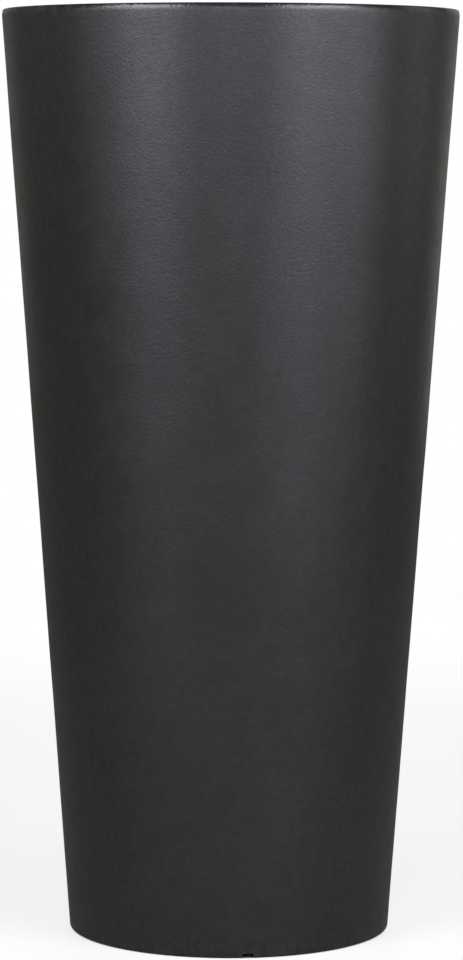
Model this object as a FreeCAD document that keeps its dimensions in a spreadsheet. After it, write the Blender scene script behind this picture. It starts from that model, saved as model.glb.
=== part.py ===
# A tall, round, tapered floor planter with a lift-out planting liner.
#
# Millimetres, +Z up. The origin is on the floor at the centre of the foot, and the front is -Y.
# Every driving size is a cell of the sheet "Sizes". Pieces that fit together take their sizes and
# places from the same cells, so that they change together.
import FreeCAD
import Part
import Sketcher
import os

SIZES = {
    # Outer shell
    "rim_diameter": 400,  # outside, where the wall would meet the top if it ran on straight
    "base_diameter": 283,  # outside, on the floor
    "height": 810,
    "wall": 5,
    "rim_width": 22,  # the turned-in top, from its outer to its inner edge
    "lip_height": 3,  # the top of the wall, which leans in above a soft bend
    "lip_lean": 0.9,
    "lip_bend_radius": 8,
    "rim_edge_radius": 1.2,
    "rim_inner_radius": 3,
    "ledge_depth": 14,  # from the top of the rim down to the ledge that carries the liner
    "ledge_width": 12,
    "ledge_edge_radius": 1.5,
    "floor_rise": 12,  # height of the foot ring below the floor
    "floor_thickness": 6,
    "floor_corner_radius": 12,
    "foot_width": 14,
    "foot_edge_radius": 3,
    "notch_width": 10,  # drain notches through the foot ring
    "notch_height": 4,
    "notch_count": 3,
    "notch_turn": 6.7,  # degrees, from straight front towards +X
    # Liner
    "liner_clearance": 1.5,  # between the flange and the rim around it
    "flange_thickness": 5,
    "flange_edge_radius": 2,
    "mouth_edge_radius": 1.5,
    "handle_gap": 12,  # between the liner's wall and the ledge, where the handle straps hang
    "liner_wall": 3.5,
    "liner_drop": 320,  # from the underside of the flange to the bottom of the liner
    "liner_draw": 26,  # how far the wall draws in over that drop
    "liner_foot": 8,
    "liner_foot_width": 9,
    "liner_foot_radius": 3,
    "liner_floor": 4,
    "liner_corner_radius": 14,
    "rib_height": 26,  # ribs under the flange, which also centre the liner in the ledge
    "rib_thickness": 3,
    "rib_clearance": 1.5,
    "rib_count": 5,  # on each side, between the two handles
    "rib_spread": 22.5,  # degrees from one rib to the next
    # Handles
    "grip_length": 120,  # along its arc, as are the other lengths of the handle
    "grip_width": 15,
    "grip_thickness": 5,
    "grip_corner_radius": 5,
    "grip_edge_radius": 1.5,
    "grip_travel": 55,
    "strap_thickness": 4,
    "strap_width": 16,
    "barb_overhang": 3,
    "barb_height": 6,
    "barb_clearance": 0.5,  # left between barb and flange when the handle is up
    "slot_clearance": 0.5,  # round each strap in its slot
    "scoop_length": 62,  # finger scoop in the flange below the grip
    "scoop_drop": 9,
    # Drain plate
    "plate_rise": 40,  # height of its legs
    "plate_thickness": 4,
    "plate_clearance": 1.5,
    "plate_lip_height": 5,
    "plate_lip_width": 3,
    "plate_lip_radius": 1,
    "plate_leg_diameter": 12,
    "plate_leg_count": 6,
    "knob_diameter": 34,
    "knob_height": 8,
    "knob_edge_radius": 3,
    "knob_neck_diameter": 20,
    "knob_neck_height": 12,
    "slot_width": 4,
    "slot_length": 18,
    "slot_gap": 14,  # between one ring of slots and the next
    "slot_margin": 8,
    "slot_pitch": 24,
    "slot_rings": 3,
    # Stoppers in the liner's floor, and the bung in the shell's floor
    "plug_clearance": 0.3,
    "plug_lead_in": 1.5,
    "plug_head_radius": 1.2,
    "stopper_count": 3,
    "stopper_inset": 50,  # from the liner's wall
    "stopper_hole": 18,
    "stopper_reach": 5,  # how far it shows below the floor
    "stopper_head_margin": 5,
    "stopper_head_thickness": 3,
    "stopper_tab_width": 11,
    "stopper_tab_thickness": 4,
    "stopper_tab_height": 12,
    "stopper_tab_radius": 4,
    "bung_hole": 26,
    "bung_reach": 4,
    "bung_head_margin": 7,
    "bung_head_thickness": 4,
    "bung_tab_width": 18,
    "bung_tab_thickness": 6,
    "bung_tab_height": 16,
    "bung_tab_radius": 6,
    # Cuts that run out of a face go this far past it
    "overrun": 2,
}

START, END, CENTRE = range(1, 4)  # the sketcher's numbers for the points of an edge
SKETCH_ORIGIN = -1
EDGE_MATCH = 1e-4

doc = FreeCAD.newDocument("planter")
sheet = doc.addObject("Spreadsheet::Sheet", "Sizes")
for row, (alias, number) in enumerate(SIZES.items(), start=1):
    sheet.set(f"A{row}", alias)
    sheet.set(f"B{row}", str(number))
    sheet.setAlias(f"B{row}", alias)
doc.recompute()


# Expressions that several pieces share

def shell_radius(height):
    """Outside radius of the shell at a height above the floor."""
    spread = "(Sizes.rim_diameter - Sizes.base_diameter) / (2 * Sizes.height)"
    return f"(Sizes.base_diameter / 2 + ({height}) * {spread})"


RIM_RADIUS = "(Sizes.rim_diameter / 2)"
RIM_MOUTH = "(Sizes.rim_diameter / 2 - Sizes.rim_width)"
LEDGE_MOUTH = f"({RIM_MOUTH} - Sizes.ledge_width)"
LEDGE_TOP = "(Sizes.height - Sizes.ledge_depth)"
SHELL_FLOOR_TOP = "(Sizes.floor_rise + Sizes.floor_thickness)"

LINER_MOUTH = f"({LEDGE_MOUTH} - Sizes.handle_gap)"
LINER_BASE = f"({LINER_MOUTH} - Sizes.liner_draw)"
LINER_BOTTOM = f"({LEDGE_TOP} - Sizes.liner_drop)"
LINER_TOP = "(Sizes.liner_drop + Sizes.flange_thickness)"
LINER_FLOOR_TOP = "(Sizes.liner_foot + Sizes.liner_floor)"


def liner_outside(height):
    """Outside radius of the liner's wall at a height above its own bottom."""
    return f"({LINER_BASE} + ({height}) * Sizes.liner_draw / Sizes.liner_drop)"


def liner_inside(height):
    """Inside radius of the liner at a height above its own bottom."""
    return f"({liner_outside(height)} - Sizes.liner_wall)"


STOPPER_RADIUS = f"({liner_inside(LINER_FLOOR_TOP)} - Sizes.stopper_inset)"

STRAP_MIDDLE = f"({LEDGE_MOUTH} - Sizes.handle_gap / 2)"
STRAP_INSIDE = f"({STRAP_MIDDLE} - Sizes.strap_thickness / 2)"
STRAP_OUTSIDE = f"({STRAP_MIDDLE} + Sizes.strap_thickness / 2)"
STRAP_DROP = "(Sizes.flange_thickness + Sizes.grip_travel + Sizes.barb_clearance + Sizes.barb_height)"


def strap_angle(length):
    """Angle in degrees of a length measured along the handle's arc."""
    return f"(({length}) / {STRAP_MIDDLE} * 180 / pi)"


# Steps that every piece is made of

def value(expression):
    """What an expression on the sheet comes to now."""
    return float(sheet.evalExpression(expression))


def new_body(label):
    body = doc.addObject("PartDesign::Body", label)
    body.Label = label
    return body


def new_sketch(body, name, plane, turn):
    """An empty sketch on an origin plane of the body, turned about the body's Z axis."""
    sketch = body.newObject("Sketcher::SketchObject", name)
    support = [feature for feature in body.Origin.OriginFeatures if feature.Role == plane]
    sketch.AttachmentSupport = [(support[0], "")]
    sketch.MapMode = "FlatFace"
    if turn:
        upright = FreeCAD.Vector(0, 1, 0)
        sketch.AttachmentOffset = FreeCAD.Placement(
            FreeCAD.Vector(), FreeCAD.Rotation(upright, value(turn)))
        sketch.setExpression("AttachmentOffset.Rotation.Angle", turn)
    return sketch


def hold(sketch, geometry, point, across, along):
    """Hold a point of the sketch at two expressions, measured from the sketch's origin."""
    for kind, expression in (("DistanceX", across), ("DistanceY", along)):
        number = sketch.addConstraint(
            Sketcher.Constraint(kind, SKETCH_ORIGIN, START, geometry, point, value(expression)))
        sketch.setExpression(f"Constraints[{number}]", expression)


def outline(body, name, corners, plane="XZ_Plane", turn=None):
    """A closed outline of straight edges through corners, each a pair of expressions."""
    sketch = new_sketch(body, name, plane, turn)
    points = [FreeCAD.Vector(value(across), value(along), 0) for across, along in corners]
    for first, second in zip(points, points[1:] + points[:1]):
        sketch.addGeometry(Part.LineSegment(first, second), False)
    for index, (across, along) in enumerate(corners):
        following = (index + 1) % len(corners)
        sketch.addConstraint(Sketcher.Constraint("Coincident", index, END, following, START))
        hold(sketch, index, START, across, along)
    return sketch


def box_outline(body, name, across, along, plane="XZ_Plane", turn=None):
    """A rectangle between two expressions across and two along."""
    corners = [
        (across[0], along[0]),
        (across[1], along[0]),
        (across[1], along[1]),
        (across[0], along[1]),
    ]
    return outline(body, name, corners, plane, turn)


def circle(body, name, diameter, across="0", along="0"):
    """A circle seen from above."""
    sketch = new_sketch(body, name, "XY_Plane", None)
    middle = FreeCAD.Vector(value(across), value(along), 0)
    upwards = FreeCAD.Vector(0, 0, 1)
    sketch.addGeometry(Part.Circle(middle, upwards, value(diameter) / 2), False)
    hold(sketch, 0, CENTRE, across, along)
    number = sketch.addConstraint(Sketcher.Constraint("Diameter", 0, value(diameter)))
    sketch.setExpression(f"Constraints[{number}]", diameter)
    return sketch


def turned(body, kind, name, sketch, angle=None):
    """A Revolution or Groove about Z: a full turn, or an angle shared by both sides of the sketch."""
    feature = body.newObject(f"PartDesign::{kind}", name)
    feature.Profile = sketch
    feature.ReferenceAxis = (sketch, ["V_Axis"])
    if angle is None:
        feature.Angle = 360
    else:
        feature.Midplane = True
        feature.setExpression("Angle", angle)
    doc.recompute()
    return feature


def extruded(body, kind, name, sketch, length, reverse=False, both_sides=False):
    """A Pad or Pocket of a given length."""
    feature = body.newObject(f"PartDesign::{kind}", name)
    feature.Profile = sketch
    feature.Reversed = reverse
    if both_sides:
        feature.SideType = "Symmetric"
    feature.setExpression("Length", length)
    doc.recompute()
    return feature


def repeated(body, name, originals, count):
    """Copies of the features, evenly spaced round Z."""
    pattern = body.newObject("PartDesign::PolarPattern", name)
    pattern.Originals = originals
    axis = [feature for feature in body.Origin.OriginFeatures if feature.Role == "Z_Axis"]
    pattern.Axis = (axis[0], [""])
    pattern.Angle = 360
    pattern.setExpression("Occurrences", count)
    body.Tip = pattern
    doc.recompute()
    return pattern


def rounded(body, name, radius, chosen):
    """Round the edges of the body so far that the test picks."""
    base = body.Tip
    edges = [f"Edge{number}" for number, edge in enumerate(base.Shape.Edges, start=1) if chosen(edge)]
    if not edges:
        raise RuntimeError(f"{name}: no edge to round")
    feature = body.newObject("PartDesign::Fillet", name)
    feature.Base = (base, edges)
    feature.setExpression("Radius", radius)
    doc.recompute()
    return feature


def swept_by(corner):
    """A test for the circular edges that a corner of a section sweeps round Z."""
    radius, height = value(corner[0]), value(corner[1])

    def chosen(edge):
        if not isinstance(edge.Curve, Part.Circle):
            return False
        level = abs(edge.Curve.Center.z - height) < EDGE_MATCH
        return level and abs(edge.Curve.Radius - radius) < EDGE_MATCH
    return chosen


def running_along(axis, height):
    """A test for straight edges along an axis whose middle is at a height."""
    def chosen(edge):
        if not isinstance(edge.Curve, Part.Line):
            return False
        level = abs(edge.CenterOfMass.z - value(height)) < EDGE_MATCH
        return level and abs(edge.Curve.Direction.dot(axis)) > 1 - EDGE_MATCH
    return chosen


# Outer shell: tapered wall with a lip, turned-in rim with the liner's ledge, raised floor, notched foot ring

def make_outer_shell():
    body = new_body("outer_shell")
    foot_inside = "(Sizes.base_diameter / 2 - Sizes.foot_width)"
    foot_outer = ("Sizes.base_diameter / 2", "0")
    lip_foot = (shell_radius("Sizes.height - Sizes.lip_height"), "Sizes.height - Sizes.lip_height")
    rim_outer = (f"{RIM_RADIUS} - Sizes.lip_lean", "Sizes.height")
    rim_inner = (RIM_MOUTH, "Sizes.height")
    ledge_edge = (LEDGE_MOUTH, LEDGE_TOP)
    ledge_under = f"({LEDGE_TOP} - Sizes.wall)"
    rim_under = "(Sizes.height - Sizes.wall)"
    skirt = f"({RIM_MOUTH} + Sizes.wall)"
    floor_corner = (f"{shell_radius(SHELL_FLOOR_TOP)} - Sizes.wall", SHELL_FLOOR_TOP)
    section = outline(body, "shell_section", [
        ("0", "Sizes.floor_rise"),
        (foot_inside, "Sizes.floor_rise"),
        (foot_inside, "0"),
        foot_outer,
        lip_foot,
        rim_outer,
        rim_inner,
        (RIM_MOUTH, LEDGE_TOP),
        ledge_edge,
        (LEDGE_MOUTH, ledge_under),
        (skirt, ledge_under),
        (skirt, rim_under),
        (f"{shell_radius(rim_under)} - Sizes.wall", rim_under),
        floor_corner,
        ("0", SHELL_FLOOR_TOP),
    ])
    turned(body, "Revolution", "shell_turn", section)
    rounded(body, "lip_bend", "Sizes.lip_bend_radius", swept_by(lip_foot))
    rounded(body, "rim_edge", "Sizes.rim_edge_radius", swept_by(rim_outer))
    rounded(body, "rim_mouth_edge", "Sizes.rim_inner_radius", swept_by(rim_inner))
    rounded(body, "ledge_edge", "Sizes.ledge_edge_radius", swept_by(ledge_edge))
    rounded(body, "foot_edge", "Sizes.foot_edge_radius", swept_by(foot_outer))
    rounded(body, "floor_corner", "Sizes.floor_corner_radius", swept_by(floor_corner))

    hole = circle(body, "drain_hole_circle", "Sizes.bung_hole")
    extruded(body, "Pocket", "drain_hole", hole, f"{SHELL_FLOOR_TOP} + Sizes.overrun", reverse=True)

    half_notch = "Sizes.notch_width / 2"
    opening = box_outline(body, "notch_outline", (f"-{half_notch}", half_notch),
                          ("0", "Sizes.notch_height"), turn="Sizes.notch_turn")
    notch = extruded(body, "Pocket", "foot_notch", opening,
                     "Sizes.base_diameter / 2 + Sizes.overrun", reverse=True)
    repeated(body, "foot_notches", [notch], "Sizes.notch_count")
    return body


# Liner: planting pot with a flange, slots and finger scoops for its handles, and drain holes

def make_liner():
    body = new_body("liner")
    foot_inside = f"({LINER_BASE} - Sizes.liner_foot_width)"
    flange_radius = f"({RIM_MOUTH} - Sizes.liner_clearance)"
    foot_outer = (LINER_BASE, "0")
    flange_outer = (flange_radius, LINER_TOP)
    mouth = (liner_inside(LINER_TOP), LINER_TOP)
    floor_corner = (liner_inside(LINER_FLOOR_TOP), LINER_FLOOR_TOP)
    section = outline(body, "liner_section", [
        ("0", "Sizes.liner_foot"),
        (foot_inside, "Sizes.liner_foot"),
        (foot_inside, "0"),
        foot_outer,
        (LINER_MOUTH, "Sizes.liner_drop"),
        (flange_radius, "Sizes.liner_drop"),
        flange_outer,
        mouth,
        floor_corner,
        ("0", LINER_FLOOR_TOP),
    ])
    turned(body, "Revolution", "liner_turn", section)
    rounded(body, "flange_edge", "Sizes.flange_edge_radius", swept_by(flange_outer))
    rounded(body, "mouth_edge", "Sizes.mouth_edge_radius", swept_by(mouth))
    rounded(body, "liner_corner", "Sizes.liner_corner_radius", swept_by(floor_corner))
    rounded(body, "liner_foot_edge", "Sizes.liner_foot_radius", swept_by(foot_outer))

    rib_bottom = "(Sizes.liner_drop - Sizes.rib_height)"
    ribs = []
    for number in range(SIZES["rib_count"]):
        turn = f"90 + Sizes.rib_spread * ({number} - (Sizes.rib_count - 1) / 2)"
        rib = outline(body, f"rib_outline_{number}", [
            (f"{liner_outside(rib_bottom)} - Sizes.liner_wall / 2", rib_bottom),
            (liner_outside(rib_bottom), rib_bottom),
            (f"{LEDGE_MOUTH} - Sizes.rib_clearance", "Sizes.liner_drop"),
            (f"{LINER_MOUTH} - Sizes.liner_wall / 2", "Sizes.liner_drop"),
        ], turn=turn)
        ribs.append(extruded(body, "Pad", f"rib_{number}", rib, "Sizes.rib_thickness", both_sides=True))
    repeated(body, "ribs", ribs, "2")

    strap_turn = strap_angle("(Sizes.grip_length - Sizes.strap_width) / 2")
    slot_across = (f"{STRAP_INSIDE} - Sizes.slot_clearance", f"{STRAP_OUTSIDE} + Sizes.slot_clearance")
    slot_along = ("Sizes.liner_drop - Sizes.overrun", f"{LINER_TOP} + Sizes.overrun")
    handle_cuts = []
    for side, sign in (("left", ""), ("right", "-")):
        slot = box_outline(body, f"{side}_slot_outline", slot_across, slot_along,
                           turn=f"{sign}{strap_turn}")
        slot_width = strap_angle("Sizes.strap_width + 2 * Sizes.slot_clearance")
        handle_cuts.append(turned(body, "Groove", f"{side}_strap_slot", slot, slot_width))
    scoop = box_outline(body, "scoop_outline",
                        (f"{liner_inside('Sizes.liner_drop')} - Sizes.liner_wall", STRAP_MIDDLE),
                        ("Sizes.liner_drop - Sizes.scoop_drop", f"{LINER_TOP} + Sizes.overrun"))
    handle_cuts.append(turned(body, "Groove", "finger_scoop", scoop, strap_angle("Sizes.scoop_length")))
    repeated(body, "handle_cuts", handle_cuts, "2")

    hole = circle(body, "stopper_hole_circle", "Sizes.stopper_hole", along=STOPPER_RADIUS)
    drain = extruded(body, "Pocket", "stopper_hole", hole, f"{LINER_FLOOR_TOP} + Sizes.overrun",
                     reverse=True)
    repeated(body, "stopper_holes", [drain], "Sizes.stopper_count")

    body.setExpression("Placement.Base.z", LINER_BOTTOM)
    return body


# Handle: a flat grip on two straps, each with a barb that stops it under the flange

def make_handle(label, turn):
    body = new_body(label)
    grip_inside = f"({STRAP_MIDDLE} - Sizes.grip_width / 2)"
    grip_outside = f"({STRAP_MIDDLE} + Sizes.grip_width / 2)"
    grip_top = f"({STRAP_DROP} + Sizes.grip_thickness)"
    section = outline(body, "handle_section", [
        (STRAP_INSIDE, "0"),
        (STRAP_OUTSIDE, "0"),
        (STRAP_OUTSIDE, STRAP_DROP),
        (grip_outside, STRAP_DROP),
        (grip_outside, grip_top),
        (grip_inside, grip_top),
        (grip_inside, STRAP_DROP),
        (STRAP_INSIDE, STRAP_DROP),
    ])
    turned(body, "Revolution", "handle_arc", section, strap_angle("Sizes.grip_length"))
    barbs = box_outline(body, "barb_outline", (STRAP_INSIDE, STRAP_OUTSIDE), ("0", "Sizes.barb_height"))
    turned(body, "Revolution", "barb_arc", barbs,
           strap_angle("Sizes.grip_length + 2 * Sizes.barb_overhang"))

    clear_across = (f"{STRAP_INSIDE} - Sizes.overrun", f"{STRAP_OUTSIDE} + Sizes.overrun")
    window = box_outline(body, "window_outline", clear_across, ("Sizes.barb_height", STRAP_DROP))
    turned(body, "Groove", "finger_window", window,
           strap_angle("Sizes.grip_length - 2 * Sizes.strap_width"))
    between = box_outline(body, "barb_gap_outline", clear_across, ("-Sizes.overrun", "Sizes.barb_height"))
    turned(body, "Groove", "barb_gap", between,
           strap_angle("Sizes.grip_length - 2 * Sizes.strap_width - 2 * Sizes.barb_overhang"))

    upwards = FreeCAD.Vector(0, 0, 1)
    rounded(body, "grip_corners", "Sizes.grip_corner_radius",
            running_along(upwards, f"{STRAP_DROP} + Sizes.grip_thickness / 2"))
    top = value(grip_top)
    rounded(body, "grip_edges", "Sizes.grip_edge_radius",
            lambda edge: abs(edge.BoundBox.ZMin - top) < EDGE_MATCH)

    body.Placement = FreeCAD.Placement(FreeCAD.Vector(), FreeCAD.Rotation(upwards, turn))
    body.setExpression("Placement.Base.z", f"{LINER_BOTTOM} + {LINER_TOP} - {STRAP_DROP}")
    return body


# Drain plate: a slotted disc with a stiffening lip and a knob, on legs

def make_drain_plate():
    body = new_body("drain_plate")
    plate_radius = f"({liner_inside(f'{LINER_FLOOR_TOP} + Sizes.plate_rise')} - Sizes.plate_clearance)"
    plate_top = "(Sizes.plate_rise + Sizes.plate_thickness)"
    lip_inside = f"({plate_radius} - Sizes.plate_lip_width)"
    lip_top = f"({plate_top} + Sizes.plate_lip_height)"
    neck_top = f"({plate_top} + Sizes.knob_neck_height)"
    knob_under = ("Sizes.knob_diameter / 2", neck_top)
    knob_over = ("Sizes.knob_diameter / 2", f"{neck_top} + Sizes.knob_height")
    section = outline(body, "plate_section", [
        ("0", "Sizes.plate_rise"),
        (plate_radius, "Sizes.plate_rise"),
        (plate_radius, lip_top),
        (lip_inside, lip_top),
        (lip_inside, plate_top),
        ("Sizes.knob_neck_diameter / 2", plate_top),
        ("Sizes.knob_neck_diameter / 2", neck_top),
        knob_under,
        knob_over,
        ("0", f"{neck_top} + Sizes.knob_height"),
    ])
    turned(body, "Revolution", "plate_turn", section)
    for name, corner in (("knob_under_edge", knob_under), ("knob_over_edge", knob_over)):
        rounded(body, name, "Sizes.knob_edge_radius", swept_by(corner))
    rounded(body, "lip_edge", "Sizes.plate_lip_radius", swept_by((plate_radius, lip_top)))

    half_slot = "Sizes.slot_width / 2"
    for ring in range(SIZES["slot_rings"]):
        outer = f"({plate_radius} - Sizes.slot_margin - {ring} * (Sizes.slot_length + Sizes.slot_gap))"
        inner = f"({outer} - Sizes.slot_length)"
        slot = box_outline(body, f"slot_outline_{ring}", (inner, outer), (f"-{half_slot}", half_slot),
                           plane="XY_Plane")
        cut = extruded(body, "Pocket", f"slot_{ring}", slot, f"{plate_top} + Sizes.overrun", reverse=True)
        repeated(body, f"slots_{ring}", [cut],
                 f"floor(pi * ({inner} + {outer}) / Sizes.slot_pitch)")

    leg_radius = f"{plate_radius} - Sizes.slot_margin - Sizes.slot_length - Sizes.slot_gap / 2"
    foot = circle(body, "plate_leg_circle", "Sizes.plate_leg_diameter", across=leg_radius)
    leg = extruded(body, "Pad", "plate_leg", foot, "Sizes.plate_rise")
    repeated(body, "plate_legs", [leg], "Sizes.plate_leg_count")

    body.setExpression("Placement.Base.z", f"{LINER_BOTTOM} + {LINER_FLOOR_TOP}")
    return body


# Stoppers and bung: a plain plug with a wide head and a finger tab

def make_plug(label, kind, floor, floor_top, across="0", along="0"):
    body = new_body(label)
    stem_radius = f"(Sizes.{kind}_hole / 2 - Sizes.plug_clearance)"
    head_radius = f"(Sizes.{kind}_hole / 2 + Sizes.{kind}_head_margin)"
    stem = f"({floor} + Sizes.{kind}_reach)"
    head_top = f"({stem} + Sizes.{kind}_head_thickness)"
    tab_top = f"({head_top} + Sizes.{kind}_tab_height)"
    section = outline(body, "plug_section", [
        ("0", "0"),
        (f"{stem_radius} - Sizes.plug_lead_in", "0"),
        (stem_radius, "Sizes.plug_lead_in"),
        (stem_radius, stem),
        (head_radius, stem),
        (head_radius, head_top),
        ("0", head_top),
    ])
    turned(body, "Revolution", "plug_turn", section)
    rounded(body, "head_edge", "Sizes.plug_head_radius", swept_by((head_radius, head_top)))
    half_tab = f"Sizes.{kind}_tab_width / 2"
    tab = box_outline(body, "tab_outline", (f"-{half_tab}", half_tab), (head_top, tab_top))
    extruded(body, "Pad", "tab", tab, f"Sizes.{kind}_tab_thickness", both_sides=True)
    rounded(body, "tab_corners", f"Sizes.{kind}_tab_radius",
            running_along(FreeCAD.Vector(0, 1, 0), tab_top))

    body.setExpression("Placement.Base.x", across)
    body.setExpression("Placement.Base.y", along)
    body.setExpression("Placement.Base.z", f"{floor_top} - {stem}")
    return body


def make_stoppers():
    """One stopper in each drain hole of the liner, the first towards +Y."""
    stoppers = []
    for number in range(SIZES["stopper_count"]):
        turn = f"(90 deg + {number} * 360 deg / Sizes.stopper_count)"
        stoppers.append(make_plug(
            f"liner_stopper_{number + 1}", "stopper", "Sizes.liner_floor",
            f"{LINER_BOTTOM} + {LINER_FLOOR_TOP}",
            across=f"{STOPPER_RADIUS} * cos({turn})", along=f"{STOPPER_RADIUS} * sin({turn})"))
    return stoppers


def check(pieces):
    """Stop if a feature failed, a cut removed nothing or a piece is not one sound solid."""
    for item in doc.Objects:
        if "Invalid" in item.State or "Error" in item.State:
            raise RuntimeError(f"{item.Name}: {item.State}")
        if item.TypeId in ("PartDesign::Pocket", "PartDesign::Groove"):
            if item.Shape.Volume >= item.BaseFeature.Shape.Volume:
                raise RuntimeError(f"{item.Name} cuts nothing")
    for piece in pieces:
        shape = piece.Shape
        if shape.isNull() or not shape.isValid() or len(shape.Solids) != 1:
            raise RuntimeError(f"{piece.Label} is not one sound solid")


pieces = [
    make_outer_shell(),
    make_plug("drain_bung", "bung", "Sizes.floor_thickness", SHELL_FLOOR_TOP),
    make_liner(),
    make_handle("right_handle", 0),
    make_handle("left_handle", 180),
    make_drain_plate(),
    *make_stoppers(),
]
doc.recompute()
check(pieces)

os.makedirs("parts", exist_ok=True)
for piece in pieces:
    piece.Shape.exportStep(f"parts/{piece.Label}.step")
    box = piece.Shape.BoundBox
    print(f"{piece.Label}: volume {piece.Shape.Volume / 1000:.1f} cm3, "
          f"z {box.ZMin:.2f} to {box.ZMax:.2f}, across {box.XLength:.2f} x {box.YLength:.2f}")
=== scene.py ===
import math

import bmesh
import bpy
from mathutils import Matrix, Vector, noise


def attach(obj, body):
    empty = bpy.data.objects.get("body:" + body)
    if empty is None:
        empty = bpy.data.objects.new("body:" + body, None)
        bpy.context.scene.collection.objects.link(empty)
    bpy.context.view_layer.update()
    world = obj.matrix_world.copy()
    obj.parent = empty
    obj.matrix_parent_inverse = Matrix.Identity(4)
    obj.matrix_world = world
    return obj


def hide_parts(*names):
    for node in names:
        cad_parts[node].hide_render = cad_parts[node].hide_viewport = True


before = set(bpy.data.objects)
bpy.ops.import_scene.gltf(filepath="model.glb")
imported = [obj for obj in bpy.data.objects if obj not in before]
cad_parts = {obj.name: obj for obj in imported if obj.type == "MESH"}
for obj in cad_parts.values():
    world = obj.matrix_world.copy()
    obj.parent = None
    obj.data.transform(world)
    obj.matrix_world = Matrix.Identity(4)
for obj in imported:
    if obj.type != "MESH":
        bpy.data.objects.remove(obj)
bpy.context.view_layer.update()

# Sizes of the outer shell, in metres, as in the CAD model
HEIGHT = 0.810
RIM_RADIUS = 0.200
BASE_RADIUS = 0.1415
WALL = 0.005
RIM_WIDTH = 0.022
RIM_MOUTH_EDGE = 0.003
LEDGE_DEPTH = 0.014
LEDGE_WIDTH = 0.012
LEDGE_EDGE = 0.0015
FLOOR_RISE = 0.012
FLOOR_THICKNESS = 0.006
FLOOR_CORNER = 0.012
FOOT_WIDTH = 0.014
FOOT_EDGE = 0.003
DRAIN_HOLE_RADIUS = 0.013
NOTCH_WIDTH = 0.010
NOTCH_HEIGHT = 0.004
NOTCH_COUNT = 3
NOTCH_TURN = math.radians(6.7)

# The lip at the top of the wall, which bends in about 1 mm lower and more softly than the CAD model's
LIP_HEIGHT = 0.0042
LIP_LEAN = 0.0013
LIP_BEND = 0.012
RIM_EDGE = 0.0014

# The levels that the handles reach down and up to at rest
HANDLE_BOTTOM = 0.7345
HANDLE_TOP = 0.806

# How finely the shell is modelled
SHELL_STEPS = 256
WALL_ROWS = 96
INSIDE_ROWS = 12
SAME_PLACE = 1e-5
SHARP_ANGLE = math.radians(32)

# How far the moulded wall wanders from true, in long waves and short ripples
WAVE_DEPTH = 0.00030
WAVE_SCALE = 9.0
RIPPLE_DEPTH = 0.00008
RIPPLE_SCALE = 34.0
WANDER_SHARE = 0.8  # of the wall's thickness, in which the wandering dies away

# How much smoother the lip's outer face is than the wall, and how much duller the rim's flat top
LIP_POLISH = 0.17
RIM_DULLNESS = 0.3

# The range that most of a soft noise lies in
MOST_NOISE = (0.35, 0.65)

# How much of the shell's mottle is large clouds and how much small specks
CLOUD_SHARE = 0.3
SPECK_SHARE = 0.7

# How deep the stipple is
SHELL_STIPPLE = 0.0005
FINE_STIPPLE = 0.0002

# Colours, as linear red, green and blue
SHELL_DARK = (0.006, 0.0061, 0.0064)
SHELL_PALE = (0.0129, 0.0131, 0.0136)
SHELL_RUBBED = (0.05, 0.05, 0.048)
LINER_DARK = (0.027, 0.0275, 0.029)
LINER_PALE = (0.038, 0.0385, 0.04)
LINER_DUST = (0.075, 0.07, 0.062)
HANDLE_DARK = (0.046, 0.047, 0.05)
HANDLE_PALE = (0.058, 0.059, 0.062)
HANDLE_RUBBED = (0.07, 0.07, 0.07)
PLATE_DARK = (0.095, 0.097, 0.1)
PLATE_PALE = (0.12, 0.122, 0.125)
PLATE_DUST = (0.17, 0.16, 0.14)
RUBBER_DARK = (0.024, 0.024, 0.025)
RUBBER_BLOOM = (0.045, 0.045, 0.046)
RUBBER_DUST = (0.09, 0.085, 0.075)
STAGE_PAINT = (0.28, 0.28, 0.276)
ROOM_LIGHT = (0.134, 0.126, 0.108)
WHITE = (1, 1, 1)
COOL = (0.90, 0.925, 1.0)
WARM = (1.0, 0.985, 0.95)

# The stage's floor, a disc that fades out, with a faint pool of light painted on it in front of the
# planter, where the floor glows for every ray and so lights the planter's lower wall
STAGE_STEPS = 96
STAGE_RADIUS = 12.0
STAGE_GLOW = 0.72
FADE_START = 1.2
FADE_END = 2.6
POOL_MIDDLE = (0, -0.4, 0)
POOL_START = 0.1
POOL_END = 0.45
POOL_GLOW = 0.1

# How far from the planter's axis the lights stand, and the point that they face
LIGHT_DISTANCE = 2.2
FAR_LIGHT = 2.4
LIGHT_AIM = Vector((0, 0, 0.5))

# The photograph's camera
FRAME_WIDTH = 463
FRAME_HEIGHT = 960
FOCAL_PIXELS = 3717.0
SENSOR = 36.0
CAMERA_DISTANCE = 3.269
CAMERA_HEIGHT = 0.7017
AIM_HEIGHT = 0.3981
AXIS_PIXEL = 229.83
CAMERA_ROLL = 0.0023

# The colour sockets of a Mix node, which share their names with its other sockets
MIX_FIRST = 6
MIX_SECOND = 7
MIX_RESULT = 2


# Nodes that several groups and materials use

def add(tree, kind, settings=None, **links):
    """A node with its settings and inputs.

    Links name the inputs, with spaces as underscores, or number them as i0, i1.
    """
    node = tree.nodes.new(kind)
    for key, value in (settings or {}).items():
        setattr(node, key, value)
    for key, value in links.items():
        numbered = key[0] == "i" and key[1:].isdigit()
        socket = node.inputs[int(key[1:])] if numbered else node.inputs[key.replace("_", " ")]
        if isinstance(value, bpy.types.NodeSocket):
            tree.links.new(value, socket)
        else:
            socket.default_value = value
    return node


def maths(tree, operation, first, second):
    """Two values taken together by an operation."""
    return add(tree, "ShaderNodeMath", {"operation": operation}, i0=first, i1=second).outputs["Value"]


def spread(tree, value, low, high, to_low=0.0, to_high=1.0):
    """A value taken from one range to another and held inside it."""
    return add(tree, "ShaderNodeMapRange", Value=value, From_Min=low, From_Max=high,
               To_Min=to_low, To_Max=to_high).outputs["Result"]


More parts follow.
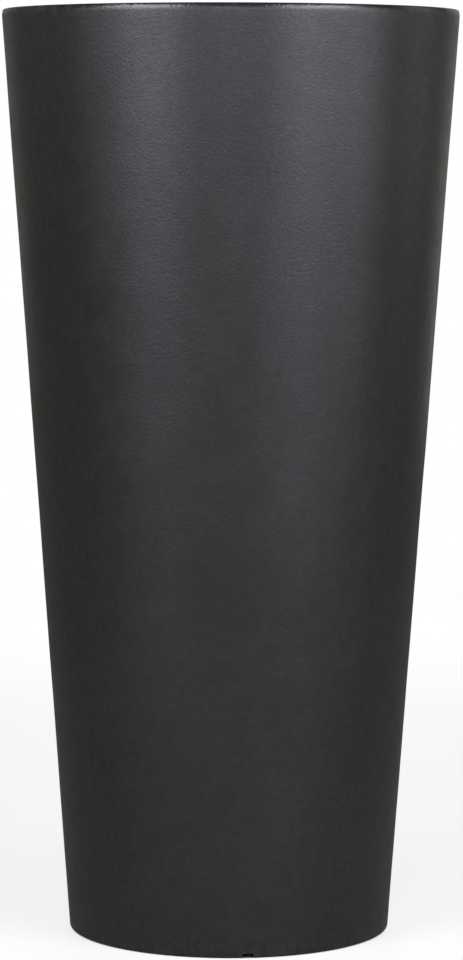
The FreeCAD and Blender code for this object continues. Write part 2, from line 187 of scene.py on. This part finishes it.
def blend(tree, mask, first, second):
    """One colour where the mask is 0 and the other where it is 1."""
    node = add(tree, "ShaderNodeMix", {"data_type": "RGBA"})
    sockets = (node.inputs["Factor"], node.inputs[MIX_FIRST], node.inputs[MIX_SECOND])
    for socket, value in zip(sockets, (mask, first, second)):
        if isinstance(value, bpy.types.NodeSocket):
            tree.links.new(value, socket)
        else:
            socket.default_value = (*value, 1)
    return node.outputs[MIX_RESULT]


def soft_noise(tree, place, scale, **links):
    """Soft random patches at a scale."""
    return add(tree, "ShaderNodeTexNoise", Vector=place, Scale=scale, **links).outputs["Fac"]


def level_of(tree, place):
    """The height of a place, or how far a direction looks up."""
    return add(tree, "ShaderNodeSeparateXYZ", Vector=place).outputs["Z"]


def length_of(tree, place):
    """How far a place is from the origin."""
    return add(tree, "ShaderNodeVectorMath", {"operation": "LENGTH"}, i0=place).outputs["Value"]


def object_place(tree):
    """Where a point lies in the frame of its piece."""
    return tree.nodes.new("ShaderNodeTexCoord").outputs["Object"]


# Shader groups

def new_group(name, inputs, outputs):
    """An empty shader group with inputs that have defaults, and named outputs."""
    group = bpy.data.node_groups.new(name, "ShaderNodeTree")
    for socket, kind, default in inputs:
        made = group.interface.new_socket(socket, in_out="INPUT", socket_type=kind)
        if default is not None:
            made.default_value = default
    for socket, kind in outputs:
        group.interface.new_socket(socket, in_out="OUTPUT", socket_type=kind)
    return group, group.nodes.new("NodeGroupInput"), group.nodes.new("NodeGroupOutput")


def stipple_group():
    """The stippled face of a moulded plastic: fine grain with scattered shallow pits."""
    group, entry, result = new_group(
        "moulded_stipple",
        [("Place", "NodeSocketVector", None), ("Grain Scale", "NodeSocketFloat", 700.0),
         ("Pit Scale", "NodeSocketFloat", 260.0), ("Pit Share", "NodeSocketFloat", 0.5)],
        [("Height", "NodeSocketFloat"), ("Shade", "NodeSocketFloat")])
    place = entry.outputs["Place"]
    grain = soft_noise(group, place, entry.outputs["Grain Scale"], Detail=3.0, Roughness=0.6)
    cells = add(group, "ShaderNodeTexVoronoi", {"feature": "SMOOTH_F1"}, Vector=place,
                Scale=entry.outputs["Pit Scale"], Smoothness=0.4).outputs["Distance"]
    patches = soft_noise(group, place, 45.0, Detail=2.0)
    pits = maths(group, "MULTIPLY", spread(group, cells, 0.15, 0.5), entry.outputs["Pit Share"])
    pitted = maths(group, "MULTIPLY", pits, spread(group, patches, 0.4, 0.62, to_low=0.6))
    group.links.new(maths(group, "ADD", grain, pitted), result.inputs["Height"])
    group.links.new(patches, result.inputs["Shade"])
    return group


def rub_group():
    """Where hands and floors rub a piece: a broken band near a low and a high level."""
    group, entry, result = new_group(
        "rubbed_bands",
        [("Place", "NodeSocketVector", None), ("Low Level", "NodeSocketFloat", 0.0),
         ("High Level", "NodeSocketFloat", 1.0), ("Band", "NodeSocketFloat", 0.01)],
        [("Mask", "NodeSocketFloat")])
    place = entry.outputs["Place"]
    band = entry.outputs["Band"]
    level = level_of(group, place)
    above = maths(group, "DIVIDE", maths(group, "SUBTRACT", level, entry.outputs["Low Level"]), band)
    below = maths(group, "DIVIDE", maths(group, "SUBTRACT", entry.outputs["High Level"], level), band)
    nearness = spread(group, maths(group, "MINIMUM", above, below), 0.0, 1.0, to_low=1.0, to_high=0.0)
    scuffs = soft_noise(group, place, 160.0, Detail=4.0, Roughness=0.65)
    rubbed = maths(group, "MULTIPLY", nearness, spread(group, scuffs, 0.48, 0.66))
    group.links.new(rubbed, result.inputs["Mask"])
    return group


def dust_group():
    """Dust that settles in soft patches on faces that look up."""
    group, entry, result = new_group(
        "settled_dust",
        [("Place", "NodeSocketVector", None), ("Scale", "NodeSocketFloat", 18.0)],
        [("Mask", "NodeSocketFloat")])
    place = entry.outputs["Place"]
    facing = level_of(group, group.nodes.new("ShaderNodeNewGeometry").outputs["Normal"])
    patches = soft_noise(group, place, entry.outputs["Scale"], Detail=5.0, Roughness=0.6)
    specks = soft_noise(group, place, 900.0, Detail=1.0)
    lying = maths(group, "MULTIPLY", spread(group, facing, 0.3, 0.95), spread(group, patches, 0.42, 0.7))
    dust = maths(group, "MULTIPLY", lying, spread(group, specks, 0.35, 0.6, to_low=0.4))
    group.links.new(dust, result.inputs["Mask"])
    return group


STIPPLE = stipple_group()
RUB = rub_group()
DUST = dust_group()


# Materials

def blank_material(name):
    """A material with nothing but a Principled shader."""
    material = bpy.data.materials.new(name)
    material.use_nodes = True
    tree = material.node_tree
    tree.nodes.clear()
    shader = tree.nodes.new("ShaderNodeBsdfPrincipled")
    output = tree.nodes.new("ShaderNodeOutputMaterial")
    tree.links.new(shader.outputs["BSDF"], output.inputs["Surface"])
    return material, tree, shader


def place_group(tree, group, **links):
    """A shader group in a material, with its own values."""
    return add(tree, "ShaderNodeGroup", {"node_tree": group}, **links)


def raise_stipple(tree, shader, stipple, strength, depth):
    """Let the stipple stand out of the surface."""
    bump = add(tree, "ShaderNodeBump", Height=stipple.outputs["Height"], Strength=strength, Distance=depth)
    tree.links.new(bump.outputs["Normal"], shader.inputs["Normal"])


def shell_polish(tree, place):
    """What the roughness loses: more than zero on the lip's outer face, less than zero on the rim's top."""
    level = level_of(tree, place)
    across = add(tree, "ShaderNodeVectorMath", {"operation": "MULTIPLY"}, i0=place, i1=(1, 1, 0))
    reach = length_of(tree, across.outputs["Vector"])
    lip = spread(tree, level, HEIGHT - 1.5 * LIP_HEIGHT, HEIGHT - LIP_HEIGHT / 2, to_high=LIP_POLISH)
    rim_top = spread(tree, level, HEIGHT - RIM_EDGE / 2, HEIGHT - RIM_EDGE / 4, to_high=RIM_DULLNESS)
    outermost = spread(tree, reach, RIM_RADIUS - 3 * LIP_LEAN, RIM_RADIUS - 2 * LIP_LEAN)
    return add(tree, "ShaderNodeMix", Factor=outermost, A=maths(tree, "MULTIPLY", rim_top, -1.0),
               B=lip).outputs["Result"]


def shell_plastic():
    """Matte charcoal plastic with a stippled, mottled face, rubbed a little at rim and foot."""
    material, tree, shader = blank_material("shell_plastic")
    place = object_place(tree)
    stipple = place_group(tree, STIPPLE, Place=place, Grain_Scale=720.0, Pit_Scale=340.0, Pit_Share=0.45)
    rub = place_group(tree, RUB, Place=place, Low_Level=0.0, High_Level=HEIGHT, Band=0.012)
    clouds = soft_noise(tree, place, 8.0, Detail=4.0)
    specks = soft_noise(tree, place, 180.0, Detail=2.0)
    mottle = maths(tree, "ADD", maths(tree, "MULTIPLY", spread(tree, clouds, *MOST_NOISE), CLOUD_SHARE),
                   maths(tree, "MULTIPLY", spread(tree, specks, *MOST_NOISE), SPECK_SHARE))
    body = blend(tree, mottle, SHELL_DARK, SHELL_PALE)
    worn = maths(tree, "MULTIPLY", rub.outputs["Mask"], 0.35)
    tree.links.new(blend(tree, worn, body, SHELL_RUBBED), shader.inputs["Base Color"])
    patchy = maths(tree, "SUBTRACT", stipple.outputs["Shade"],
                   spread(tree, specks, *MOST_NOISE, to_low=-0.15, to_high=0.15))
    dull = spread(tree, patchy, 0.3, 0.7, to_low=0.35, to_high=0.41)
    roughness = maths(tree, "SUBTRACT", dull, shell_polish(tree, place))
    tree.links.new(roughness, shader.inputs["Roughness"])
    raise_stipple(tree, shader, stipple, 0.28, SHELL_STIPPLE)
    return material


def liner_plastic():
    """Satin black plastic with faint flow marks and dust inside."""
    material, tree, shader = blank_material("liner_plastic")
    place = object_place(tree)
    stipple = place_group(tree, STIPPLE, Place=place, Grain_Scale=1300.0, Pit_Scale=500.0, Pit_Share=0.2)
    dust = place_group(tree, DUST, Place=place, Scale=14.0)
    flow_place = add(tree, "ShaderNodeMapping", Vector=place, Scale=(26, 26, 2.5)).outputs["Vector"]
    flow = soft_noise(tree, flow_place, 1.0, Detail=3.0, Distortion=0.6)
    body = blend(tree, spread(tree, flow, *MOST_NOISE), LINER_DARK, LINER_PALE)
    lying = maths(tree, "MULTIPLY", dust.outputs["Mask"], 0.3)
    tree.links.new(blend(tree, lying, body, LINER_DUST), shader.inputs["Base Color"])
    roughness = spread(tree, flow, 0.3, 0.7, to_low=0.46, to_high=0.58)
    tree.links.new(roughness, shader.inputs["Roughness"])
    raise_stipple(tree, shader, stipple, 0.2, FINE_STIPPLE)
    return material


def handle_plastic():
    """Spark-textured plastic, polished where fingers lift it."""
    material, tree, shader = blank_material("handle_plastic")
    place = object_place(tree)
    stipple = place_group(tree, STIPPLE, Place=place, Grain_Scale=1700.0, Pit_Scale=900.0, Pit_Share=0.8)
    rub = place_group(tree, RUB, Place=place, Low_Level=HANDLE_BOTTOM, High_Level=HANDLE_TOP, Band=0.006)
    body = blend(tree, spread(tree, stipple.outputs["Shade"], *MOST_NOISE), HANDLE_DARK, HANDLE_PALE)
    worn = maths(tree, "MULTIPLY", rub.outputs["Mask"], 0.4)
    tree.links.new(blend(tree, worn, body, HANDLE_RUBBED), shader.inputs["Base Color"])
    roughness = spread(tree, rub.outputs["Mask"], 0.0, 1.0, to_low=0.58, to_high=0.46)
    tree.links.new(roughness, shader.inputs["Roughness"])
    raise_stipple(tree, shader, stipple, 0.35, FINE_STIPPLE)
    return material


def plate_plastic():
    """Matte dark grey plastic, dusty between its slots."""
    material, tree, shader = blank_material("plate_plastic")
    place = object_place(tree)
    stipple = place_group(tree, STIPPLE, Place=place, Grain_Scale=900.0, Pit_Scale=420.0, Pit_Share=0.3)
    dust = place_group(tree, DUST, Place=place, Scale=22.0)
    body = blend(tree, spread(tree, stipple.outputs["Shade"], *MOST_NOISE), PLATE_DARK, PLATE_PALE)
    lying = maths(tree, "MULTIPLY", dust.outputs["Mask"], 0.4)
    tree.links.new(blend(tree, lying, body, PLATE_DUST), shader.inputs["Base Color"])
    roughness = spread(tree, dust.outputs["Mask"], 0.0, 1.0, to_low=0.5, to_high=0.72)
    tree.links.new(roughness, shader.inputs["Roughness"])
    raise_stipple(tree, shader, stipple, 0.25, FINE_STIPPLE)
    return material


def plug_rubber():
    """Dull black rubber with a grey bloom."""
    material, tree, shader = blank_material("plug_rubber")
    place = object_place(tree)
    stipple = place_group(tree, STIPPLE, Place=place, Grain_Scale=2400.0, Pit_Scale=1100.0, Pit_Share=0.3)
    dust = place_group(tree, DUST, Place=place, Scale=60.0)
    bloom = soft_noise(tree, place, 120.0, Detail=4.0)
    body = blend(tree, spread(tree, bloom, 0.4, 0.7), RUBBER_DARK, RUBBER_BLOOM)
    lying = maths(tree, "MULTIPLY", dust.outputs["Mask"], 0.3)
    tree.links.new(blend(tree, lying, body, RUBBER_DUST), shader.inputs["Base Color"])
    roughness = spread(tree, bloom, 0.3, 0.7, to_low=0.62, to_high=0.8)
    tree.links.new(roughness, shader.inputs["Roughness"])
    raise_stipple(tree, shader, stipple, 0.3, FINE_STIPPLE)
    return material


# The outer shell

def outside(height):
    """Outside radius of the shell at a height above the floor."""
    return BASE_RADIUS + height * (RIM_RADIUS - BASE_RADIUS) / HEIGHT


def ring_edges(bm, corner):
    """The edges of the ring that a corner of the section sweeps."""
    def on_ring(vert):
        reach = math.hypot(vert.co.x, vert.co.y)
        return abs(reach - corner[0]) < SAME_PLACE and abs(vert.co.z - corner[1]) < SAME_PLACE
    return [edge for edge in bm.edges if all(on_ring(vert) for vert in edge.verts)]


def round_ring(bm, corner, radius, segments):
    """Round the edge that a corner of the section sweeps."""
    edges = ring_edges(bm, corner)
    offset = radius * math.tan(edges[0].calc_face_angle() / 2)
    bmesh.ops.bevel(bm, geom=edges, offset=offset, offset_type="OFFSET", affect="EDGES",
                    segments=segments, profile=0.5, material=-1)


def turned_shell():
    """Floor, foot ring, tapered wall, turned-in rim with its ledge, and the inside, from one section."""
    floor_top = FLOOR_RISE + FLOOR_THICKNESS
    foot_inside = BASE_RADIUS - FOOT_WIDTH
    rim_mouth = RIM_RADIUS - RIM_WIDTH
    ledge_mouth = rim_mouth - LEDGE_WIDTH
    ledge_top = HEIGHT - LEDGE_DEPTH
    skirt = rim_mouth + WALL
    foot_outer = (BASE_RADIUS, 0)
    lip_foot = (outside(HEIGHT - LIP_HEIGHT), HEIGHT - LIP_HEIGHT)
    rim_outer = (RIM_RADIUS - LIP_LEAN, HEIGHT)
    rim_inner = (rim_mouth, HEIGHT)
    ledge_edge = (ledge_mouth, ledge_top)
    wall_top = (outside(HEIGHT - WALL) - WALL, HEIGHT - WALL)
    floor_corner = (outside(floor_top) - WALL, floor_top)
    section = [
        (DRAIN_HOLE_RADIUS, FLOOR_RISE), (foot_inside, FLOOR_RISE), (foot_inside, 0), foot_outer,
        lip_foot, rim_outer, rim_inner, (rim_mouth, ledge_top), ledge_edge,
        (ledge_mouth, ledge_top - WALL), (skirt, ledge_top - WALL), (skirt, HEIGHT - WALL),
        wall_top, floor_corner, (DRAIN_HOLE_RADIUS, floor_top),
    ]
    bm = bmesh.new()
    verts = [bm.verts.new((reach, 0, level)) for reach, level in section]
    edges = {}
    for first, second, start in zip(verts, verts[1:] + verts[:1], section):
        edges[start] = bm.edges.new((first, second))
    bmesh.ops.subdivide_edges(bm, edges=[edges[foot_outer]], cuts=WALL_ROWS)
    bmesh.ops.subdivide_edges(bm, edges=[edges[wall_top]], cuts=INSIDE_ROWS)
    bmesh.ops.spin(bm, geom=bm.verts[:] + bm.edges[:], cent=(0, 0, 0), axis=(0, 0, 1),
                   angle=2 * math.pi, steps=SHELL_STEPS, use_merge=True)
    bmesh.ops.remove_doubles(bm, verts=bm.verts, dist=SAME_PLACE / 10)
    bmesh.ops.recalc_face_normals(bm, faces=bm.faces)
    for corner, radius, segments in (
            (lip_foot, LIP_BEND, 4), (rim_outer, RIM_EDGE, 5), (rim_inner, RIM_MOUTH_EDGE, 5),
            (ledge_edge, LEDGE_EDGE, 3), (foot_outer, FOOT_EDGE, 5), (floor_corner, FLOOR_CORNER, 6)):
        round_ring(bm, corner, radius, segments)
    return bm


def wander(bm):
    """Give the outer wall and the rim the slight unevenness of a moulded piece."""
    for vert in bm.verts:
        reach = math.hypot(vert.co.x, vert.co.y)
        depth = outside(vert.co.z) - reach
        share = max(0.0, 1 - depth / (WANDER_SHARE * WALL))
        if share == 0 or vert.co.z < FOOT_EDGE / 2:
            continue
        wave = WAVE_DEPTH * noise.noise(vert.co * WAVE_SCALE)
        ripple = RIPPLE_DEPTH * noise.noise(vert.co * RIPPLE_SCALE)
        outward = Vector((vert.co.x, vert.co.y, 0)) / reach
        vert.co += outward * (wave + ripple) * share


def notch_tool():
    """Blocks that stand where the foot ring's drain notches are cut."""
    bm = bmesh.new()
    middle = BASE_RADIUS - FOOT_WIDTH / 2
    for number in range(NOTCH_COUNT):
        turn = Matrix.Rotation(NOTCH_TURN + number * 2 * math.pi / NOTCH_COUNT, 4, "Z")
        size = Matrix.Diagonal((NOTCH_WIDTH, 2 * FOOT_WIDTH, 2 * NOTCH_HEIGHT, 1))
        bmesh.ops.create_cube(bm, size=1, matrix=turn @ Matrix.Translation((0, -middle, 0)) @ size)
    return bm


def as_object(name, bm):
    """A new object in the scene that holds the mesh."""
    mesh = bpy.data.meshes.new(name)
    bm.to_mesh(mesh)
    bm.free()
    piece = bpy.data.objects.new(name, mesh)
    bpy.context.scene.collection.objects.link(piece)
    return piece


def make_shell(finish):
    """The shell with its drain notches cut, in place of the CAD model's."""
    bm = turned_shell()
    wander(bm)
    shell = as_object("planter_shell", bm)
    tool = as_object("notch_tool", notch_tool())
    cut = shell.modifiers.new("notches", "BOOLEAN")
    cut.operation = "DIFFERENCE"
    cut.solver = "EXACT"
    cut.object = tool
    notched = bpy.data.meshes.new_from_object(shell.evaluated_get(bpy.context.evaluated_depsgraph_get()))
    shell.modifiers.clear()
    plain = shell.data
    shell.data = notched
    bpy.data.meshes.remove(plain)
    bpy.data.meshes.remove(tool.data)
    notched.shade_smooth()
    notched.set_sharp_from_angle(angle=SHARP_ANGLE)
    notched.materials.clear()
    notched.materials.append(finish)
    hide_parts("outer_shell")
    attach(shell, "shell")


rubber = plug_rubber()
handle = handle_plastic()
FINISHES = {
    "outer_shell": shell_plastic(),
    "liner": liner_plastic(),
    "left_handle": handle,
    "right_handle": handle,
    "drain_plate": plate_plastic(),
    "drain_bung": rubber,
    "liner_stopper_1": rubber,
    "liner_stopper_2": rubber,
    "liner_stopper_3": rubber,
}
for node, finish in FINISHES.items():
    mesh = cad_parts[node].data
    mesh.materials.clear()
    mesh.materials.append(finish)
make_shell(FINISHES["outer_shell"])


# Stage, light and camera

def pale_floor():
    """A pale floor that glows for the camera, with a painted pool of light in front that glows for every
    ray, but not under the planter's foot.
    """
    bm = bmesh.new()
    bmesh.ops.create_circle(bm, cap_ends=True, segments=STAGE_STEPS, radius=STAGE_RADIUS)
    floor = as_object("floor", bm)
    material, tree, shader = blank_material("floor_paint")
    shader.inputs["Base Color"].default_value = (*STAGE_PAINT, 1)
    shader.inputs["Roughness"].default_value = 0.9
    shader.inputs["Specular IOR Level"].default_value = 0.1
    shader.inputs["Emission Color"].default_value = (*WHITE, 1)
    seen = tree.nodes.new("ShaderNodeLightPath").outputs["Is Camera Ray"]
    place = object_place(tree)
    reach = length_of(tree, place)
    clear_of_foot = spread(tree, reach, BASE_RADIUS - FOOT_EDGE, BASE_RADIUS)
    # Painted pool of light: the floor in front of the planter glows faintly for every ray and lights the
    # planter from below
    ahead = add(tree, "ShaderNodeVectorMath", {"operation": "DISTANCE"}, i0=place, i1=POOL_MIDDLE)
    pool = spread(tree, ahead.outputs["Value"], POOL_START, POOL_END, to_low=POOL_GLOW, to_high=0.0)
    glow = maths(tree, "MAXIMUM", maths(tree, "MULTIPLY", seen, STAGE_GLOW), pool)
    tree.links.new(maths(tree, "MULTIPLY", glow, clear_of_foot), shader.inputs["Emission Strength"])
    fade = spread(tree, reach, FADE_START, FADE_END, to_low=1.0, to_high=0.0)
    tree.links.new(fade, shader.inputs["Alpha"])
    floor.data.materials.append(material)


def soft_box(name, azimuth, height, size, power, colour=COOL, distance=LIGHT_DISTANCE):
    """A soft light that faces the planter, at an azimuth in degrees from the front towards the right."""
    light = bpy.data.lights.new(name, "AREA")
    light.shape = "RECTANGLE"
    light.size, light.size_y = size
    light.energy = power
    light.color = colour
    lamp = bpy.data.objects.new(name, light)
    bpy.context.scene.collection.objects.link(lamp)
    turn = math.radians(azimuth)
    lamp.location = (distance * math.sin(turn), -distance * math.cos(turn), height)
    aim = LIGHT_AIM - lamp.location
    lamp.rotation_euler = aim.to_track_quat("-Z", "Y").to_euler()
    lamp.visible_camera = False


def studio_world():
    """Dim even light all round, in place of which the camera sees white."""
    world = bpy.data.worlds.new("studio")
    world.use_nodes = True
    tree = world.node_tree
    seen = tree.nodes.new("ShaderNodeLightPath").outputs["Is Camera Ray"]
    backdrop = tree.nodes["Background"]
    tree.links.new(blend(tree, seen, ROOM_LIGHT, WHITE), backdrop.inputs["Color"])
    bpy.context.scene.world = world


def photo_camera():
    """The camera that sees the planter as the photograph shows it."""
    camera = bpy.data.cameras.new("camera")
    camera.sensor_width = SENSOR
    camera.lens = FOCAL_PIXELS * SENSOR / FRAME_HEIGHT
    holder = bpy.data.objects.new("camera", camera)
    bpy.context.scene.collection.objects.link(holder)
    aside = (FRAME_WIDTH / 2 - AXIS_PIXEL) / FOCAL_PIXELS * CAMERA_DISTANCE
    holder.location = (aside, -CAMERA_DISTANCE, CAMERA_HEIGHT)
    sight = Vector((aside, 0, AIM_HEIGHT)) - holder.location
    level = sight.to_track_quat("-Z", "Y").to_matrix().to_4x4()
    roll = Matrix.Rotation(CAMERA_ROLL, 4, "Z")
    holder.matrix_world = Matrix.Translation(holder.location) @ level @ roll
    bpy.context.scene.camera = holder


pale_floor()
studio_world()
soft_box("left_key", azimuth=-38, height=0.75, size=(1.1, 0.6), power=10.3)
soft_box("right_key", azimuth=36, height=0.75, size=(1.1, 0.6), power=10.1)
soft_box("left_high", azimuth=-42, height=1.45, size=(1.4, 0.65), power=34.0)
soft_box("right_high", azimuth=43, height=1.45, size=(1.4, 0.65), power=34.0)
soft_box("right_low", azimuth=36, height=0.2, size=(1.1, 0.4), power=0.7)
soft_box("front_fill", azimuth=0, height=0.95, size=(0.9, 0.5), power=10.5, distance=FAR_LIGHT)
soft_box("left_fill", azimuth=-68, height=1.0, size=(0.6, 0.8), power=2.4)
soft_box("right_fill", azimuth=66, height=0.85, size=(0.6, 0.8), power=7.7)
soft_box("left_side", azimuth=-106, height=1.25, size=(0.8, 1.4), power=0.8, colour=WARM)
soft_box("right_side", azimuth=106, height=1.1, size=(0.8, 1.4), power=2.8, colour=WARM)
soft_box("left_back", azimuth=-152, height=1.1, size=(1.0, 1.6), power=0.8, colour=WARM)
soft_box("right_back", azimuth=152, height=1.0, size=(1.0, 1.6), power=1.6, colour=WARM)
# Narrow, so that its glancing reflection draws no bright line along the planter's edges from the front
soft_box("back_fill", azimuth=180, height=0.75, size=(0.8, 0.8), power=12.0, distance=FAR_LIGHT)
photo_camera()
bpy.context.scene.view_settings.view_transform = "Standard"
